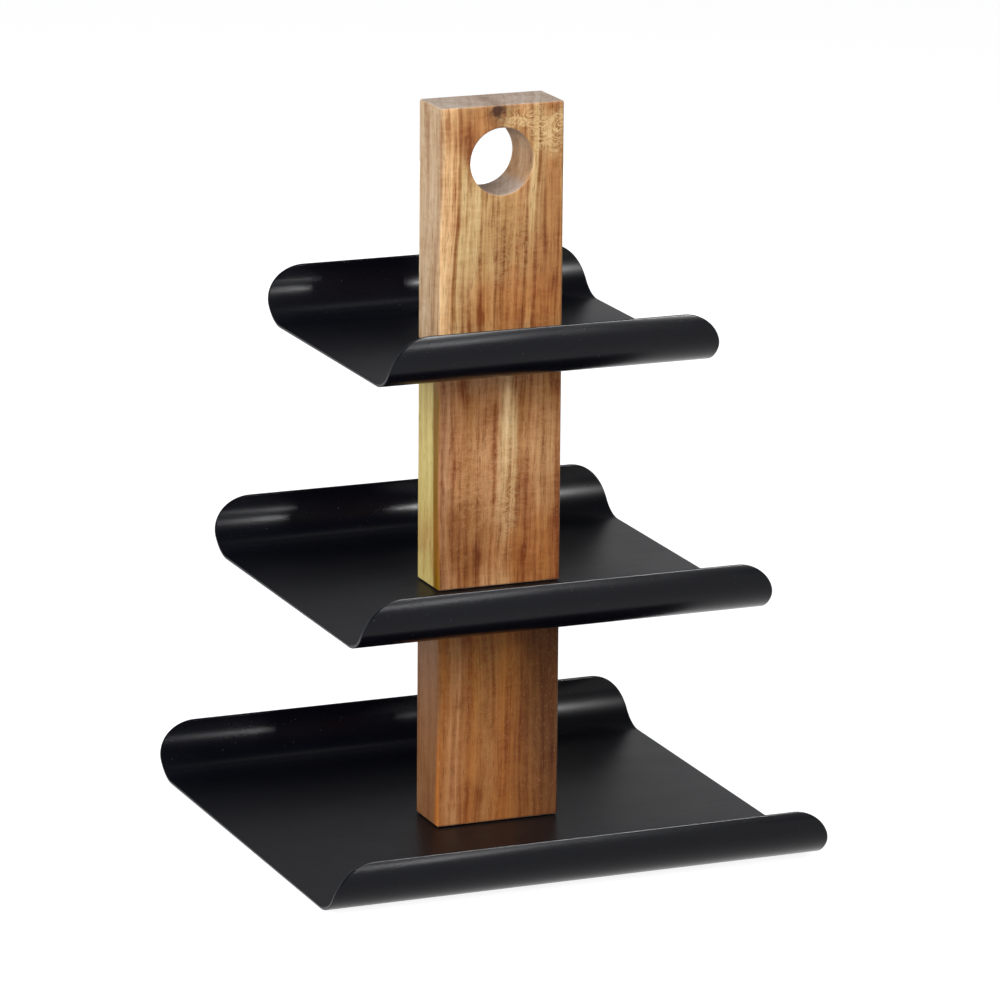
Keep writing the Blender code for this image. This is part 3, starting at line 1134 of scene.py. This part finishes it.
class Board(Enum):
    """The three boards that the post was cut from."""

    LOWER = AcaciaBoard(
        heart=(-160.0, 50.0),
        lean=0.01,
        seed=83.2,
        contrast=1.0,
        streaks=(
            (-0.25, Tone.WALNUT), (-0.02, Tone.WALNUT), (0.02, Tone.AMBER), (0.14, Tone.CINNAMON),
            (0.26, Tone.AMBER), (0.38, Tone.RUSSET), (0.52, Tone.AMBER), (0.70, Tone.CHESTNUT),
            (1.12, Tone.UMBER),
        ),
        # Painted shade: the umber cloud darkens the right side, and the chestnut cloud darkens the band
        # along the top under the middle tray, over the wood's own tone.
        clouds=(
            Cloud(28, 20, 36, 150, Tone.UMBER, 0.70),
            Cloud(0, 60, 90, 30, Tone.CHESTNUT, 0.50),
        ),
        curls=(Cloud(-8, 10, 50, 90, Tone.HONEY, 0.30),),
    )
    MIDDLE = AcaciaBoard(
        heart=(-150.0, 70.0),
        lean=-0.015,
        seed=47.9,
        side_contrast=0.25,
        streaks=(
            (-0.25, Tone.SAPWOOD), (-0.10, Tone.SAPWOOD), (-0.07, Tone.OLIVE), (-0.015, Tone.OLIVE),
            (0.01, Tone.ROSE), (0.14, Tone.CINNAMON), (0.24, Tone.RUSSET), (0.34, Tone.CINNAMON),
            (0.44, Tone.CINNAMON), (0.50, Tone.TAN), (0.56, Tone.TAN), (0.63, Tone.RUSSET),
            (0.76, Tone.CINNAMON), (0.86, Tone.RUSSET), (1.12, Tone.CINNAMON),
        ),
        clouds=(
            Cloud(-6, 56, 80, 40, Tone.ROSE, 0.75),
            Cloud(-18, -36, 40, 56, Tone.CHESTNUT, 0.85),
            Cloud(16, -44, 50, 50, Tone.AMBER, 0.80),
            Cloud(3.5, 6, 10, 74, Tone.SHEEN, 0.36),
            Cloud(25, 8, 16, 60, Tone.TAN, 0.30),
        ),
        curls=(
            Cloud(4, -4, 14, 90, Tone.SHEEN, 0.45),
            Cloud(-12, -4, 34, 70, Tone.TAN, 0.36),
            Cloud(20, 10, 22, 60, Tone.TAN, 0.30),
        ),
    )
    GRIP = AcaciaBoard(
        heart=(-170.0, 60.0),
        lean=0.02,
        seed=11.3,
        side=Tone.ASH,
        side_contrast=0.65,
        streaks=(
            (-0.25, Tone.ASH), (-0.03, Tone.ASH), (0.00, Tone.TAN), (0.11, Tone.TAN),
            (0.13, Tone.HONEY), (0.16, Tone.STRAW), (0.28, Tone.STRAW), (0.36, Tone.HONEY),
            (0.48, Tone.STRAW), (0.54, Tone.HONEY), (0.66, Tone.CINNAMON), (0.78, Tone.STRAW),
            (0.88, Tone.RUSSET), (1.12, Tone.HONEY),
        ),
        clouds=(
            Cloud(8, -6, 44, 60, Tone.HONEY, 0.60),
            Cloud(-15, 3, 20, 44, Tone.STRAW, 0.55),
            Cloud(24, -30, 34, 74, Tone.RUSSET, 0.85),
            Cloud(4, -40, 72, 44, Tone.AMBER, 0.70),
            Cloud(-13, 47, 36, 36, Tone.RUSSET, 1.00),
            Cloud(16, 46, 40, 34, Tone.HONEY, 0.60),
            Cloud(26, 46, 26, 24, Tone.STRAW, 0.60),
        ),
        curls=(
            Cloud(8, 53, 26, 16, Tone.SHEEN, 0.85),
            Cloud(26, 46, 28, 26, Tone.SHEEN, 0.85),
            Cloud(0, -6, 46, 60, Tone.STRAW, 0.40),
        ),
        knot=Knot(-2.7, 57.0, 2.5),
    )


class Shows(Enum):
    """What a lamp adds: light on the colours, or gloss on the coating."""

    COLOUR = "colour"
    GLOSS = "gloss"


@dataclass
class Softbox:
    """A soft lamp that looks at the stand, out of the camera's sight. Its angles are in degrees."""

    name: str
    azimuth: float
    elevation: float
    distance: float
    width: float
    height: float
    radiance: float
    shows: Shows
    aim: Triple = (0.0, 0.0, 0.17)

    def build(self) -> None:
        """Sets up the lamp."""
        lamp = bpy.data.lights.new(self.name, "AREA")
        lamp.shape = "RECTANGLE"
        lamp.size, lamp.size_y = self.width, self.height
        lamp.energy = self.radiance * math.pi * self.width * self.height
        made = placed(self.name, lamp)
        towards = direction(self.azimuth, self.elevation)
        made.location = Vector(self.aim) + towards * self.distance
        made.rotation_euler = towards.to_track_quat("Z", "Y").to_euler()
        made.visible_camera = False
        made.visible_diffuse = self.shows is Shows.COLOUR
        made.visible_glossy = self.shows is Shows.GLOSS
        LOG.info("%s: %.1f W", self.name, lamp.energy)


def direction(azimuth: float, elevation: float) -> Vector:
    """The unit vector from the stand towards something.

    Args:
        azimuth: the angle from the front, positive to the right, in degrees.
        elevation: the angle over the horizon, in degrees.

    Returns:
        The vector.
    """
    turn, lift = math.radians(azimuth), math.radians(elevation)
    return Vector((math.sin(turn) * math.cos(lift), -math.cos(turn) * math.cos(lift), math.sin(lift)))


@dataclass
class Studio:
    """A pale floor, a room that is brighter behind the stand than in front of it, and soft lamps."""

    floor_radius: float = 14.0
    floor_steps: int = 96
    floor_colour: Colour = (0.32, 0.32, 0.324)
    floor_mottle: Colour = (0.5, 0.5, 0.5)
    floor_lift: float = 0.88
    room_front: Colour = (0.25, 0.25, 0.253)
    room_back: Colour = (0.80, 0.80, 0.81)
    room_top: Colour = (0.15, 0.15, 0.152)
    back_range: Point = (-0.2, 0.6)
    top_range: Point = (0.18, 0.37)
    lamps: tuple[Softbox, ...] = (
        Softbox("left_softbox", -38.0, 22.0, 1.60, 0.90, 0.70, 11.2, Shows.COLOUR),
        Softbox("side_softbox", -88.0, 12.0, 1.50, 0.70, 0.70, 4.2, Shows.COLOUR),
        Softbox("back_softbox", 150.0, 10.0, 1.60, 0.90, 0.90, 3.0, Shows.COLOUR),
        Softbox("overhead_softbox", 0.0, 80.0, 1.60, 0.90, 0.90, 3.8, Shows.COLOUR),
        Softbox("right_card", 29.0, 33.0, 2.00, 0.30, 0.30, 240.0, Shows.GLOSS),
        Softbox("high_card", 18.0, 28.5, 2.75, 0.24, 0.30, 150.0, Shows.GLOSS),
        Softbox("low_card", 15.0, 4.5, 2.75, 0.22, 0.44, 44.0, Shows.GLOSS),
        Softbox("overhead_card", 90.0, 75.0, 1.30, 0.30, 0.30, 1.1, Shows.GLOSS),
    )

    def floor_material(self) -> Material:
        """The floor's finish: pale, and lifted to white where it is seen, but for the stand's shadow.

        Returns:
            The material.
        """
        sheet = ShaderSheet(bpy.data.materials.new("pale_floor"))
        mottle = sheet.noise(sheet.millimetres(), (0.004, 0.004, 0.004), 2.0)
        mottle = sheet.remap(mottle, (0.3, 0.7), (0.0, 0.03))
        colour = sheet.blend(mottle, self.floor_colour, self.floor_mottle)
        lit = sheet.node("BsdfDiffuse", {"Color": colour, "Roughness": 0.6})
        rays = sheet.node("LightPath").outputs
        seen = sheet.calc("MAXIMUM", rays["Is Camera Ray"], rays["Is Glossy Ray"])
        seen = sheet.calc("MAXIMUM", seen, rays["Is Transmission Ray"])
        glow = sheet.node("Emission", {"Strength": sheet.calc("MULTIPLY", seen, self.floor_lift)})
        both = sheet.node("AddShader", {0: lit.outputs[0], 1: glow.outputs[0]})
        sheet.node("OutputMaterial", {"Surface": both.outputs[0]})
        return sheet.owner

    def room(self) -> bpy.types.World:
        """The light of the room itself, which changes gently with the direction.

        Returns:
            The world.
        """
        sheet = ShaderSheet(bpy.data.worlds.new("studio_room"))
        towards = sheet.node("TexCoord").outputs["Generated"]
        parts = sheet.node("SeparateXYZ", {"Vector": towards}).outputs
        back = sheet.remap(parts["Y"], self.back_range, soft=True)
        colour = sheet.blend(back, self.room_front, self.room_back)
        colour = sheet.blend(sheet.remap(parts["Z"], self.top_range, soft=True), colour, self.room_top)
        background = sheet.node("Background", {"Color": colour})
        sheet.node("OutputWorld", {"Surface": background.outputs["Background"]})
        return sheet.owner

    def build(self) -> None:
        """Sets up the floor, the room light and the lamps."""
        shape = bmesh.new()
        bmesh.ops.create_circle(shape, cap_ends=True, segments=self.floor_steps, radius=self.floor_radius)
        floor = mesh_object("studio_floor", shape, self.floor_material())
        bpy.context.scene.world = self.room()
        for lamp in self.lamps:
            lamp.build()


@dataclass
class PhotoView:
    """The camera at the photograph's viewing angle, in degrees, with its lens in millimetres."""

    azimuth: float = -22.415
    elevation: float = 14.570
    roll: float = 0.440
    distance: float = 3.0487
    aim: Triple = (0.00410, -0.00441, 0.16838)
    lens: float = 221.57
    sensor: float = 36.0
    sight: float = 60.0

    def build(self) -> None:
        """Sets up the camera."""
        camera = bpy.data.cameras.new("photo_view")
        camera.sensor_fit = "HORIZONTAL"
        camera.sensor_width = self.sensor
        camera.lens = self.lens
        camera.clip_end = self.sight
        made = placed("photo_view", camera)
        back = direction(self.azimuth, self.elevation)
        upright = back.to_track_quat("Z", "Y").to_matrix()
        rolled = upright @ Matrix.Rotation(math.radians(self.roll), 3, "Z")
        place = Vector(self.aim) + back * self.distance
        made.matrix_world = Matrix.Translation(place) @ rolled.to_4x4()
        bpy.context.scene.camera = made


def main() -> None:
    """Builds the stand from its feet up, and then the studio round it."""
    logging.basicConfig(level=logging.INFO, format="%(name)s: %(message)s")
    coat = PowderCoat().material()
    zinc = ZincPlate().material()
    RubberFeet().build(MattRubber().material())
    for tray in (
        CurledTray("bottom_tray", width=0.260, depth=0.257),
        CurledTray("middle_tray", width=0.215, depth=0.214),
        CurledTray("top_tray", width=0.172, depth=0.174),
    ):
        tray.build(coat)
    for board, block in (
        (Board.LOWER, PostBlock("lower_block", foot_stud=0.0179, top_stud=0.0210)),
        (Board.MIDDLE, PostBlock("middle_block", foot_stud=0.0210, top_stud=0.0210)),
        (Board.GRIP, PostBlock("grip_block", foot_stud=0.0210, grip_hole_drop=0.0282)),
    ):
        block.build(board.value.material(block))
    BaseBolt().build(zinc)
    HiddenHardware().build(zinc)
    Studio().build()
    PhotoView().build()
    bpy.context.scene.view_settings.view_transform = "Standard"


if __name__ == "__main__":
    main()
